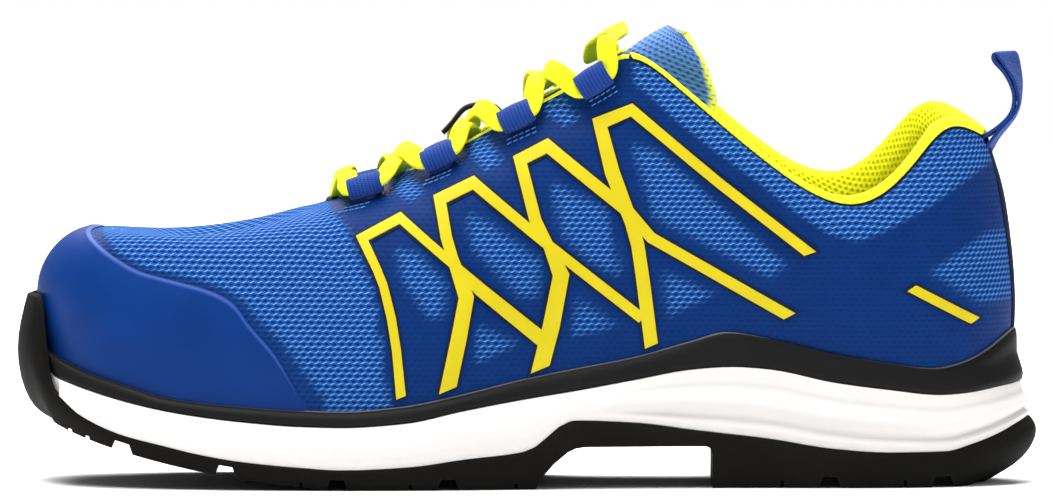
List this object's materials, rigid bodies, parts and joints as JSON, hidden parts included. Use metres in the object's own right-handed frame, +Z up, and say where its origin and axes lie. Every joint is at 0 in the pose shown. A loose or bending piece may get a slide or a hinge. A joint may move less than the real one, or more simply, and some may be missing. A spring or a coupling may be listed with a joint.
{
  "type": "safety shoe",
  "caption": "Low work shoe for the left foot: hollow mesh upper on a stepped sole with a rubber toe bumper, side lattice strips, padded collar, webbing lace loops and a heel pull loop.",
  "frame": {"origin": "on the floor under the middle of the shoe's box", "axes": "+X to the heel, so the toe points to -X; -Y is the outer side of the foot; +Z up from the floor"},
  "size_m": [0.3, 0.1069, 0.1346],
  "materials": {
    "outsole_rubber": "matte",
    "midsole_foam": "satin",
    "rand_frame": "satin",
    "upper_mesh": "knitted mesh",
    "tongue_mesh": "knitted mesh",
    "toe_film": "satin film",
    "strip_film": "satin film",
    "collar_lining": "knitted lining",
    "lace_cord": "flat woven",
    "loop_webbing": "woven webbing",
    "heel_webbing": "woven webbing",
    "footbed": "felt"
  },
  "bodies": {
    "root": {"outsole": "outsole_rubber", "midsole": "midsole_foam", "rand": "rand_frame", "upper": "upper_mesh", "insole": "footbed", "tongue": "tongue_mesh", "toe_cap": "toe_film", "collar": "collar_lining", "heel_strip": "heel_webbing", "lattice_outer": "strip_film", "lattice_inner": "strip_film", "heel_dash_outer": "strip_film", "heel_dash_inner": "strip_film", "lace_loop_outer_1": "loop_webbing", "lace_loop_outer_2": "loop_webbing", "lace_loop_outer_3": "loop_webbing", "lace_loop_outer_4": "loop_webbing", "lace_loop_inner_1": "loop_webbing", "lace_loop_inner_2": "loop_webbing", "lace_loop_inner_3": "loop_webbing", "lace_loop_inner_4": "loop_webbing", "lace_bar": "lace_cord", "lace_cross_1": "lace_cord", "lace_cross_2": "lace_cord", "lace_cross_3": "lace_cord", "lace_top": "lace_cord", "pull_loop": "loop_webbing"}
  },
  "joints": []
}
